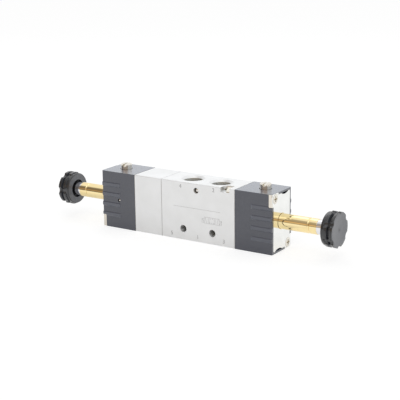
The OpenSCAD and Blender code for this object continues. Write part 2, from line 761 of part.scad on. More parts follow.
// A countersunk screw along X with its head in the outer face of the end plate
module long_screw(length) {
    dome_r = (pow(screw_head_d / 2, 2) + pow(screw_dome_h, 2)) / (2 * screw_dome_h);
    translate([pilot_l, 0, 0]) difference() {
        rotate([0, 90, 0]) {
            intersection() {
                cylinder(d = screw_head_d, h = screw_dome_h + hair);
                translate([0, 0, screw_dome_h - dome_r]) sphere(r = dome_r, $fn = 192);
            }
            translate([0, 0, -screw_head_h]) cylinder(d1 = screw_d, d2 = screw_head_d, h = screw_head_h);
            translate([0, 0, -length]) cylinder(d = screw_d, h = length - screw_head_h / 2);
        }
        for (turn = [0, 90]) rotate([turn, 0, 0]) {
            translate([screw_dome_h - recess_depth, -recess_l / 2, -recess_w / 2]) {
                cube([recess_depth + cut, recess_l, recess_w]);
            }
        }
    }
}

module plate_screws_right() {
    length = pilot_l + gasket_t + nut_wall + nut_t;
    color([0.84, 0.83, 0.8]) at_right() at_screws() long_screw(length);
}

module plate_screws_left() {
    length = pilot_l + 2 * gasket_t + spring_block_l + left_screw_grip;
    color([0.84, 0.83, 0.8]) at_left() at_screws() long_screw(length);
}

module screw_nuts() {
    color([0.84, 0.83, 0.8]) at_screws() translate([body_right - nut_wall - nut_t, 0, 0]) {
        difference() {
            rotate([0, 90, 0]) cylinder(d = nut_flats / cos(30), h = nut_t, $fn = 6);
            bar_x(screw_d + 2 * press_gap, -cut, nut_t + cut, 0, 0);
        }
    }
}

module body_ball_plug() {
    color([0.7, 0.7, 0.72]) translate([cross_x, -stack_w / 2 + ball_sink + body_ball_d / 2, pilot_air_z]) {
        sphere(d = body_ball_d - 2 * press_gap);
    }
}

module pilot_ball_plug() {
    ball_y = stack_w / 2 - pilot_ball_sink - pilot_ball_d / 2;
    color([0.75, 0.74, 0.72]) translate([feed_x, ball_y, axis_z]) {
        sphere(d = pilot_ball_d - 2 * press_gap);
    }
}

module pilot_nozzle() {
    nozzle_r = nozzle_d / 2 - press_gap;
    color([0.8, 0.66, 0.36]) turned_x() difference() {
        polygon([[0, nozzle_start], [nozzle_r, nozzle_start], [nozzle_r, room_start],
            [orifice_d / 2 + nozzle_lip, nozzle_tip], [0, nozzle_tip]]);
        translate([0, feed_x - orifice_d]) square([orifice_d / 2, pilot_l]);
    }
}

// Tube, core and armature
module armature_tube() {
    outer = tube_d / 2;
    inner = outer - tube_wall;
    crimp = tube_end - crimp_x;
    color([0.85, 0.68, 0.33]) turned_x() difference() {
        union() {
            translate([inner, flange_back - skirt_l]) square([tube_wall, tube_end - flange_back + skirt_l]);
            translate([inner, flange_back]) square([flange_d / 2 - inner, flange_t]);
            translate([inner, crimp]) crimp_bead(0);
        }
        translate([outer, crimp]) crimp_bead(0);
    }
}

// The rounded step that the crimp presses inwards
module crimp_bead(gap) {
    r = (pow(crimp_w / 2, 2) + pow(crimp_depth, 2)) / (2 * crimp_depth);
    intersection() {
        translate([r - crimp_depth, 0]) circle(r = r + gap);
        translate([-crimp_depth - gap, -crimp_w]) square([2 * crimp_depth + gap, 2 * crimp_w]);
    }
}

module tube_seal_ring() {
    section_d = tube_ring_d - 2 * press_gap;
    color([0.1, 0.1, 0.1]) seal_ring_x(tube_d + 2 * run_gap, section_d, flange_back - tube_ring_d / 2);
}

module fixed_core() {
    color([0.8, 0.8, 0.82]) turned_x() difference() {
        union() {
            translate([0, core_start]) square([core_d / 2, core_l]);
            translate([0, tube_end]) square([stub_d / 2, stub_l]);
            translate([0, stub_end]) polygon([[0, -hair], [stud_d / 2, -hair],
                [stud_d / 2, stud_l - stud_chamfer], [stud_d / 2 - stud_chamfer, stud_l], [0, stud_l]]);
        }
        translate([tube_d / 2 - tube_wall, tube_end - crimp_x]) crimp_bead(fit_gap);
    }
}

module armature() {
    color([0.72, 0.73, 0.75]) difference() {
        turned_x() difference() {
            polygon([[0, armature_start], [armature_d / 2 - armature_chamfer, armature_start],
                [armature_d / 2, armature_start + armature_chamfer], [armature_d / 2, armature_end],
                [0, armature_end]]);
            translate([0, armature_start - cut]) square([poppet_d / 2, poppet_t - poppet_rise + cut]);
            translate([0, armature_end - spring_hole_l]) {
                square([armature_mean_d / 2 + armature_wire_d / 2 + free_gap, spring_hole_l + cut]);
            }
        }
        for (side = [-1, 1]) {
            translate([armature_start - cut, side * armature_d / 2, axis_z]) rotate([45, 0, 0]) {
                translate([0, -armature_slot / 2, -armature_slot / 2]) {
                    cube([armature_end, armature_slot, armature_slot]);
                }
            }
        }
    }
}

module armature_seal() {
    color([0.12, 0.12, 0.12]) bar_x(poppet_d - 2 * press_gap, nozzle_tip, nozzle_tip + poppet_t);
}

module armature_spring() {
    start = armature_end - spring_hole_l;
    color([0.75, 0.76, 0.78]) translate([start, 0, axis_z]) {
        coil_spring(armature_mean_d, armature_wire_d, core_start - start, 5);
    }
}

// Manual override
module override_button() {
    head_z = stack_h - override_sink;
    head_top = stack_h + override_rise;
    color([0.82, 0.81, 0.78]) translate([override_x, 0, 0]) difference() {
        rotate_extrude() difference() {
            union() {
                polygon([[0, stem_tip_z], [stem_d / 2 - stem_chamfer, stem_tip_z],
                    [stem_d / 2, stem_tip_z + stem_chamfer], [stem_d / 2, head_z + hair],
                    [0, head_z + hair]]);
                polygon([[0, head_z], [override_d / 2, head_z], [override_d / 2, head_top - head_chamfer],
                    [override_d / 2 - head_chamfer, head_top], [0, head_top]]);
            }
            translate([neck_d / 2, pin_neck_low]) square([stem_d, pin_neck_top - pin_neck_low]);
            translate([neck_d / 2, override_ring_z - ring_neck_half]) square([stem_d, 2 * ring_neck_half]);
        }
        translate([0, 0, head_top - slot_depth]) rotate(slot_turn) translate([-override_d, -slot_w / 2, 0]) {
            cube([2 * override_d, slot_w, slot_depth + cut]);
        }
    }
}

module override_seal_ring() {
    mean_r = (neck_d + stem_bore_d) / 4;
    color([0.1, 0.1, 0.1]) translate([override_x, 0, override_ring_z]) rotate_extrude() {
        translate([mean_r, 0]) circle(r = stem_bore_d / 2 - run_gap - mean_r, $fn = 32);
    }
}

module override_spring() {
    length = stack_h - override_sink - head_bore_z;
    color([0.75, 0.76, 0.78]) translate([override_x, 0, head_bore_z]) rotate([0, -90, 0]) {
        coil_spring(stem_d + override_wire_d + 2 * free_gap, override_wire_d, length, 2);
    }
}

module override_pin() {
    pin_start = pin_hole_start + end_gap;
    color([0.7, 0.7, 0.72]) bar_x(keep_pin_d, pin_start, plate_back - press_gap, keep_pin_y, keep_pin_z);
}

// Pistons
module piston() {
    outer_r = piston_bore_d / 2 - free_gap;
    groove_r = piston_bore_d / 2 - run_gap - piston_ring_d - press_gap;
    piston_end = piston_start + piston_t;
    color([0.86, 0.84, 0.78]) turned_x() difference() {
        polygon([[0, piston_start], [outer_r, piston_start], [outer_r, piston_end - piston_edge],
            [outer_r - piston_edge, piston_end], [0, piston_end]]);
        translate([groove_r, piston_start + (piston_t - piston_ring_d) / 2 - fit_gap]) {
            square([piston_bore_d, piston_ring_d + 2 * fit_gap]);
        }
    }
}

module piston_ring() {
    inner_d = piston_bore_d - 2 * run_gap - 2 * piston_ring_d;
    color([0.1, 0.1, 0.1]) seal_ring_x(inner_d, piston_ring_d, piston_start + piston_t / 2);
}

// Spool and its centring springs
module spool() {
    nose_end = body_l / 2 + gasket_t + piston_start;
    color([0.8, 0.81, 0.83]) turned_x(body_x) difference() {
        union() {
            translate([0, -spool_half]) square([waist_d / 2, 2 * spool_half]);
            translate([0, spool_half - hair]) square([nose_d / 2, nose_end - spool_half + hair]);
            for (side = [-1, 1]) {
                for (x = [ring_x_inner, ring_x_middle]) {
                    translate([0, side * x - ring_land_l / 2]) square([land_d / 2, ring_land_l]);
                }
                translate([0, side * spool_half - (side > 0 ? ring_land_l : 0)]) {
                    square([land_d / 2, ring_land_l]);
                }
            }
        }
        for (side = [-1, 1]) for (x = [ring_x_inner, ring_x_middle, ring_x_end]) {
            translate([ring_out_d / 2 - spool_ring_d - press_gap, side * x]) {
                translate([0, -spool_ring_d / 2]) square([bore_d, spool_ring_d]);
            }
        }
        translate([0, -spool_half - cut]) square([rod_stud_d / 2 + press_gap, rod_stud_l + cut + end_gap]);
    }
}

module spool_seal_rings() {
    color([0.12, 0.12, 0.12]) for (side = [-1, 1]) for (x = [ring_x_inner, ring_x_middle, ring_x_end]) {
        seal_ring_x(ring_out_d - 2 * spool_ring_d, spool_ring_d, body_x + side * x);
    }
}

module spool_rod() {
    spool_end = body_x - spool_half;
    color([0.74, 0.75, 0.77]) {
        bar_x(rod_d, pilot_left - piston_start, spool_end);
        bar_x(rod_stud_d, spool_end - hair, spool_end + rod_stud_l);
    }
}

module spring_washer() {
    color([0.7, 0.71, 0.73]) difference() {
        bar_x(chamber_d - 2 * fit_gap, block_right - washer_t, block_right);
        bar_x(rod_bore_d, block_right - washer_t - cut, block_right + cut);
    }
}

module spring_collar() {
    start = block_left + chamber_wall + spring_room;
    color([0.6, 0.61, 0.63]) difference() {
        bar_x(collar_d, start, start + collar_t);
        bar_x(rod_d + 2 * press_gap, start - cut, start + collar_t + cut);
    }
}

module centring_spring(x) {
    color([0.62, 0.63, 0.66]) translate([x, 0, axis_z]) {
        coil_spring(centring_mean_d, centring_wire_d, spring_room, 3);
    }
}

module rod_seal_ring() {
    color([0.1, 0.1, 0.1]) {
        seal_ring_x(rod_d + 2 * run_gap, rod_ring_d, block_left + rod_ring_d / 2 + run_gap);
    }
}

// Coil nut
module lobed_disc() {
    hollow_x = nut_lobe_d / 2 - lobe_depth + lobe_hollow_r;
    difference() {
        circle(d = nut_lobe_d);
        for (i = [0:lobes - 1]) rotate(360 * i / lobes) translate([hollow_x, 0]) circle(r = lobe_hollow_r);
    }
}

module coil_nut(turn) {
    groove_start = nut_rim_l + back_disc_l;
    front_start = groove_start + nut_groove_l;
    stud_bore_d = stud_d + 2 * run_gap;
    dish_r = (pow(dish_d / 2, 2) + pow(dish_depth, 2)) / (2 * dish_depth);
    color([0.13, 0.13, 0.14]) translate([coil_nut_start, 0, axis_z]) rotate([0, 90, 0]) rotate(turn)
    difference() {
        union() {
            rotate_extrude() union() {
                square([nut_rim_d / 2 - nut_rim_r, nut_rim_l]);
                translate([0, nut_rim_r]) square([nut_rim_d / 2, nut_rim_l - nut_rim_r]);
                translate([nut_rim_d / 2 - nut_rim_r, nut_rim_r]) circle(r = nut_rim_r, $fn = 48);
            }
            translate([0, 0, nut_rim_l - hair]) linear_extrude(back_disc_l + hair) lobed_disc();
            translate([0, 0, groove_start - hair]) cylinder(d = nut_groove_d, h = nut_groove_l + 2 * hair);
            for (i = [0:lobes - 1]) rotate(360 * i / lobes) {
                translate([0, -web_w / 2, groove_start - hair]) {
                    cube([nut_lobe_d / 2 - lobe_depth - web_inset, web_w, nut_groove_l + 2 * hair]);
                }
            }
            translate([0, 0, front_start]) linear_extrude(coil_nut_l - front_start) lobed_disc();
        }
        translate([0, 0, -cut]) cylinder(d = nut_hollow_d, h = nut_hollow_l + cut);
        translate([0, 0, nut_hollow_l - cut]) cylinder(d = stud_bore_d, h = stud_l + cut + stud_room);
        translate([0, 0, coil_nut_l - dish_depth + dish_r]) sphere(r = dish_r, $fn = 192);
    }
}

module nut_seal_ring() {
    color([0.1, 0.1, 0.1]) {
        seal_ring_x(stub_d + 2 * run_gap, nut_ring_d, stub_end - nut_ring_d / 2 - run_gap);
    }
}

module centring_spring_right() {
    centring_spring(block_right - washer_t - spring_room);
}

module centring_spring_left() {
    centring_spring(block_left + chamber_wall);
}

valve_body();
spring_block();
at_right() pilot_housing();  // pilot_housing_right
at_left() pilot_housing();  // pilot_housing_left
body_gasket_right();
body_gasket_left();
pilot_gasket_left();
at_right() end_plate();  // end_plate_right
at_left() end_plate();  // end_plate_left
plate_screws_right();
plate_screws_left();
screw_nuts();
body_ball_plug();
at_right() pilot_ball_plug();  // pilot_ball_plug_right
at_left() pilot_ball_plug();  // pilot_ball_plug_left
at_right() pilot_nozzle();  // pilot_nozzle_right
at_left() pilot_nozzle();  // pilot_nozzle_left
at_right() armature_tube();  // armature_tube_right
at_left() armature_tube();  // armature_tube_left
at_right() tube_seal_ring();  // tube_seal_ring_right
at_left() tube_seal_ring();  // tube_seal_ring_left
at_right() fixed_core();  // fixed_core_right
at_left() fixed_core();  // fixed_core_left
at_right() override_pin();  // override_pin_right
at_left() override_pin();  // override_pin_left
spring_washer();
rod_seal_ring();
spool();
spool_seal_rings();
spool_rod();
spring_collar();
centring_spring_right();
centring_spring_left();
at_right() piston();  // piston_right
at_left() piston();  // piston_left
at_right() piston_ring();  // piston_ring_right
at_left() piston_ring();  // piston_ring_left
at_right() armature();  // armature_right
at_left() armature();  // armature_left
at_right() armature_seal();  // armature_seal_right
at_left() armature_seal();  // armature_seal_left
at_right() armature_spring();  // armature_spring_right
at_left() armature_spring();  // armature_spring_left
at_right() override_button();  // override_button_right
at_left() override_button();  // override_button_left
at_right() override_seal_ring();  // override_seal_ring_right
at_left() override_seal_ring();  // override_seal_ring_left
at_right() override_spring();  // override_spring_right
at_left() override_spring();  // override_spring_left
at_right() coil_nut(right_nut_turn);  // coil_nut_right
at_left() coil_nut(left_nut_turn);  // coil_nut_left
at_right() nut_seal_ring();  // nut_seal_ring_right
at_left() nut_seal_ring();  // nut_seal_ring_left
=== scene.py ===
import json
from math import atan2, cos, pi, radians, sin
import bpy
from mathutils import Matrix, Vector


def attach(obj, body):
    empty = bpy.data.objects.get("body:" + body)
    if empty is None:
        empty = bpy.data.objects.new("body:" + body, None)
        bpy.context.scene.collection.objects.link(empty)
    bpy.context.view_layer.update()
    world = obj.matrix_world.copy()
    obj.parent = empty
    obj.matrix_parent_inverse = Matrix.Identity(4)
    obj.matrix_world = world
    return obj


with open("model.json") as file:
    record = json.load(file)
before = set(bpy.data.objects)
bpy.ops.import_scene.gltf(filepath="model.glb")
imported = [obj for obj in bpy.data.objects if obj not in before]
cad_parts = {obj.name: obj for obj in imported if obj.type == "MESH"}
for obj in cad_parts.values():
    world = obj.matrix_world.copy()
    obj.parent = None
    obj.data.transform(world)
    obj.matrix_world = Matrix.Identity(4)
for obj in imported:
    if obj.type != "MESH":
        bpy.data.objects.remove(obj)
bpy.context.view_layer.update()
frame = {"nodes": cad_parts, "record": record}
nodes = frame["nodes"]
mm = 0.001  # a millimetre in Blender's metres
print("frame loaded:", len(nodes), "nodes")

# Camera, at the photograph's viewing angle: degrees from the front, metres and millimetres of lens
cameraView = {
    "azimuth": 32.93,
    "elevation": 15.087,
    "roll": -0.697,
    "distance": 0.62072,
    "aim": (0.01219, -0.01186, 0.02605),
    "lens": 97.0,
    "nearest": 0.01,
    "farthest": 50.0,
}


def makeCamera(view):
    around, above, roll = (radians(view[key]) for key in ("azimuth", "elevation", "roll"))
    back = Vector((sin(around) * cos(above), -cos(around) * cos(above), sin(above)))
    level = (-back).cross(Vector((0, 0, 1))).normalized()
    upright = level.cross(-back)
    right = level * cos(roll) + upright * sin(roll)
    up = upright * cos(roll) - level * sin(roll)
    place = Vector(view["aim"]) + back * view["distance"]
    bpy.ops.object.camera_add()
    camera = bpy.context.object
    turn = Matrix((right, up, back)).transposed().to_4x4()
    camera.matrix_world = Matrix.Translation(place) @ turn
    camera.data.lens = view["lens"]
    camera.data.clip_start = view["nearest"]
    camera.data.clip_end = view["farthest"]
    bpy.context.scene.camera = camera


makeCamera(cameraView)
bpy.context.scene.view_settings.view_transform = "Standard"
print("camera placed")

# Studio: world, lamps and floor, in metres and watts. The camera sees white all round. Metal and
# gloss see the floor and a white room with one toned side, in front of the valve.
studio = {
    "worldFill": 0.55,
    "topLamp": {"size": 0.45, "place": (-0.35, 0.45, 0.75), "watts": 0.5},
    "frontLamp": {"size": 0.7, "place": (0.25, -0.5, 0.8), "watts": 0.9},
    "lampAim": (0, 0, 0.0175),
    "floorSize": 30.0,
    "floorColour": (0.55, 0.55, 0.55),
    "floorGlow": 0.68,
    # Painted shadow on the floor as metal sees it: the floor's glow is "least" beside the valve
    # and grows to full between two distances from it in y, and it is full everywhere past one
    # place in x
    "paintedFloorShadow": {"distances": (0.012, 0.06), "least": 0.74, "pastX": 0.06},
    "darkSide": (-0.1, -1.0, 0.0),
    "darkSideRange": (0.18, 0.5),
    # Tones of the dark side by height: 0 is level, 1 straight up
    "darkSideTones": [
        (0.0, (0.90, 0.88, 0.85)),
        (0.03, (0.36, 0.31, 0.26)),
        (0.16, (0.50, 0.44, 0.36)),
        (0.30, (0.86, 0.61, 0.37)),
        (0.44, (0.40, 0.33, 0.27)),
        (0.78, (0.46, 0.43, 0.40)),
        (0.93, (1, 1, 1)),
    ],
    # The left end of the room is darker still
    "farLeft": (-1, 0, 0),
    "farLeftRange": (0.48, 0.66),
    "farLeftTone": (0.42, 0.40, 0.38),
}
mixSockets = {"share": 0, "first": 6, "second": 7, "result": 2}  # a Mix node's, for colours


def addNode(tree, kind, **values):
    node = tree.nodes.new("ShaderNode" + kind)
    for key, value in values.items():
        setattr(node, key, value)
    return node


def setInputs(node, values):
    for key, value in values.items():
        node.inputs[key].default_value = value
    return node


def combine(tree, operation, first, second):  # second is a socket or a plain number
    step = addNode(tree, "Math", operation=operation)
    tree.links.new(first, step.inputs[0])
    if isinstance(second, float):
        step.inputs[1].default_value = second
    else:
        tree.links.new(second, step.inputs[1])
    return step.outputs[0]


def coordinate(tree, kind, axis):
    parts = addNode(tree, "SeparateXYZ")
    tree.links.new(addNode(tree, "TexCoord").outputs[kind], parts.inputs[0])
    return parts.outputs[axis]


def shareOf(tree, value, limits, shares=(0.0, 1.0), **settings):
    share = addNode(tree, "MapRange", **settings)
    setInputs(share, {"From Min": limits[0], "From Max": limits[1]})
    setInputs(share, {"To Min": shares[0], "To Max": shares[1]})
    tree.links.new(value, share.inputs["Value"])
    return share.outputs["Result"]


def axisShare(tree, kind, axis, limits, shares=(0.0, 1.0)):  # by the size of one coordinate
    size = addNode(tree, "Math", operation="ABSOLUTE")
    tree.links.new(coordinate(tree, kind, axis), size.inputs[0])
    return shareOf(tree, size.outputs[0], limits, shares)


def sideShare(tree, side, limits):  # how far a direction of the world lies towards one side
    toward = addNode(tree, "VectorMath", operation="DOT_PRODUCT")
    tree.links.new(addNode(tree, "TexCoord").outputs["Generated"], toward.inputs[0])
    toward.inputs[1].default_value = side
    return shareOf(tree, toward.outputs["Value"], limits, interpolation_type="SMOOTHSTEP")


def mirrorRays(tree, path):
    glossy, through = path.outputs["Is Glossy Ray"], path.outputs["Is Transmission Ray"]
    return combine(tree, "MAXIMUM", glossy, through)


def toneRamp(tree, value, tones):
    ramp = addNode(tree, "ValToRGB")
    while len(ramp.color_ramp.elements) < len(tones):
        ramp.color_ramp.elements.new(0.5)  # moved to its place below
    for element, (place, tone) in zip(ramp.color_ramp.elements, tones):
        element.position = place
        element.color = (*tone, 1)
    tree.links.new(value, ramp.inputs["Fac"])
    return ramp.outputs["Color"]


def mixTone(tree, share, first, second, blend="MIX"):
    mix = addNode(tree, "Mix", data_type="RGBA", blend_type=blend)
    tree.links.new(share, mix.inputs[mixSockets["share"]])
    for key, tone in (("first", first), ("second", second)):
        socket = mix.inputs[mixSockets[key]]
        if isinstance(tone, tuple):
            socket.default_value = (*tone, 1)
        else:
            tree.links.new(tone, socket)
    return mix.outputs[mixSockets["result"]]


def chooseShader(tree, share, first, second):
    mix = addNode(tree, "MixShader")
    tree.links.new(share, mix.inputs[0])
    tree.links.new(first.outputs[0], mix.inputs[1])
    tree.links.new(second.outputs[0], mix.inputs[2])
    return mix


def addBackground(tree, strength):  # a strength of 1 is white
    return setInputs(addNode(tree, "Background"), {"Color": (1, 1, 1, 1), "Strength": strength})


def makeWorld():
    world = bpy.data.worlds.new("studioWorld")
    bpy.context.scene.world = world
    world.use_nodes = True
    tree = world.node_tree
    tree.nodes.clear()
    tones = toneRamp(tree, coordinate(tree, "Generated", "Z"), studio["darkSideTones"])
    farLeft = sideShare(tree, studio["farLeft"], studio["farLeftRange"])
    tones = mixTone(tree, farLeft, tones, studio["farLeftTone"], "MULTIPLY")
    front = sideShare(tree, studio["darkSide"], studio["darkSideRange"])
    room = addBackground(tree, 1.0)
    tree.links.new(mixTone(tree, front, (1, 1, 1), tones), room.inputs["Color"])
    path = addNode(tree, "LightPath")
    fill = addBackground(tree, studio["worldFill"])
    mirrored = chooseShader(tree, mirrorRays(tree, path), fill, room)
    shown = chooseShader(tree, path.outputs["Is Camera Ray"], mirrored, addBackground(tree, 1.0))
    output = addNode(tree, "OutputWorld")
    tree.links.new(shown.outputs[0], output.inputs["Surface"])


def makeFloor():
    bpy.ops.mesh.primitive_plane_add(size=studio["floorSize"], location=(0, 0, 0))
    floor = bpy.context.object
    floor.name = "studio_floor"
    material = bpy.data.materials.new("studioFloor")
    material.use_nodes = True
    tree = material.node_tree
    tree.nodes.clear()
    near = studio["paintedFloorShadow"]
    # painted shadow: metal sees the floor darker beside the valve
    away = axisShare(tree, "Object", "Y", near["distances"], (near["least"], 1.0))
    past = combine(tree, "GREATER_THAN", coordinate(tree, "Object", "X"), near["pastX"])
    full = combine(tree, "MAXIMUM", away, past)
    path = addNode(tree, "LightPath")
    mirrored = combine(tree, "MULTIPLY", mirrorRays(tree, path), full)
    seen = combine(tree, "MAXIMUM", path.outputs["Is Camera Ray"], mirrored)
    glow = setInputs(addNode(tree, "Emission"), {"Color": (1, 1, 1, 1)})
    tree.links.new(combine(tree, "MULTIPLY", seen, studio["floorGlow"]), glow.inputs["Strength"])
    pale = setInputs(addNode(tree, "BsdfDiffuse"), {"Color": (*studio["floorColour"], 1)})
    both = addNode(tree, "AddShader")
    tree.links.new(pale.outputs[0], both.inputs[0])
    tree.links.new(glow.outputs[0], both.inputs[1])
    output = addNode(tree, "OutputMaterial")
    tree.links.new(both.outputs[0], output.inputs["Surface"])
    floor.data.materials.append(material)


def makeLamp(name, lamp):
    bpy.ops.object.light_add(type="AREA", location=lamp["place"])
    light = bpy.context.object
    light.name = name
    light.data.size = lamp["size"]
    light.data.energy = lamp["watts"]
    light.visible_camera = False
    aim = Vector(studio["lampAim"]) - Vector(lamp["place"])
    light.rotation_euler = aim.to_track_quat("-Z", "Y").to_euler()


makeWorld()
makeFloor()
makeLamp("top_lamp", studio["topLamp"])
makeLamp("front_lamp", studio["frontLamp"])
print("studio built")

# Materials. Every finish has a broad noise, which moves its colour from dark to light, and a
# fine grain, which moves its roughness and its bump.
noise = {
    "patchDetail": 2.0,
    "grainDetail": 3.0,
    "patchLimits": (0.3, 0.7),
    "grainLimits": (0.25, 0.75),
}


def objectNoise(tree, scale, detail, stretch=(1, 1, 1)):
    coords = addNode(tree, "TexCoord")
    mapping = setInputs(addNode(tree, "Mapping"), {"Scale": stretch})
    pattern = setInputs(addNode(tree, "TexNoise"), {"Scale": scale, "Detail": detail})
    tree.links.new(coords.outputs["Object"], mapping.inputs["Vector"])
    tree.links.new(mapping.outputs["Vector"], pattern.inputs["Vector"])
    return pattern.outputs["Fac"]


def paintedPortShade(tree, colour, inside):  # painted shade: a darker tone on the walls within the block
    aside = axisShare(tree, "Object", "Y", inside["aside"], (1.0, 0.0))
    below = axisShare(tree, "Object", "Z", inside["below"], (1.0, 0.0))
    above = axisShare(tree, "Object", "Z", inside["above"])
    within = combine(tree, "MULTIPLY", combine(tree, "MULTIPLY", aside, below), above)
    return mixTone(tree, within, colour, inside["tone"])


def makeFinish(name, finish):
    material = bpy.data.materials.new(name)
    material.use_nodes = True
    tree = material.node_tree
    tree.nodes.clear()
    shader = addNode(tree, "BsdfPrincipled")
    setInputs(shader, {"Metallic": finish["metallic"], "IOR": finish.get("ior", 1.5)})
    if "coat" in finish:
        weight, roughness, ior = finish["coat"]
        setInputs(shader, {"Coat Weight": weight, "Coat Roughness": roughness, "Coat IOR": ior})
    patches = objectNoise(tree, finish["patchScale"], noise["patchDetail"])
    stretch = finish.get("stretch", (1, 1, 1))
    grain = objectNoise(tree, finish["grainScale"], noise["grainDetail"], stretch)
    low, high = noise["patchLimits"]
    colour = toneRamp(tree, patches, [(low, finish["dark"]), (high, finish["light"])])
    if "second" in finish:  # another tone where a coordinate or normal passes its limits; each use paints light: a sheen on ribs and flat ends, a reflection on tabs
        kind, axis, limits, tone = finish["second"]
        colour = mixTone(tree, axisShare(tree, kind, axis, limits), colour, tone)
    # painted shade in the ports and drillings
    if "inside" in finish:
        colour = paintedPortShade(tree, colour, finish["inside"])
    if "rim" in finish:  # painted light: another tone where the surface turns away, a painted sheen on the slate plastic and a painted dark reflection on the polished steel
        low, high, tone = finish["rim"]
        facing = addNode(tree, "LayerWeight").outputs["Facing"]
        colour = mixTone(tree, shareOf(tree, facing, (low, high)), colour, tone)
    tree.links.new(colour, shader.inputs["Base Color"])
    roughness = shareOf(tree, grain, noise["grainLimits"], finish["roughness"])
    tree.links.new(roughness, shader.inputs["Roughness"])
    relief = {"Strength": finish["bump"], "Distance": finish["bumpDepth"]}
    bump = setInputs(addNode(tree, "Bump"), relief)
    tree.links.new(grain, bump.inputs["Height"])
    tree.links.new(bump.outputs["Normal"], shader.inputs["Normal"])
    output = addNode(tree, "OutputMaterial")
    tree.links.new(shader.outputs[0], output.inputs["Surface"])
    return material


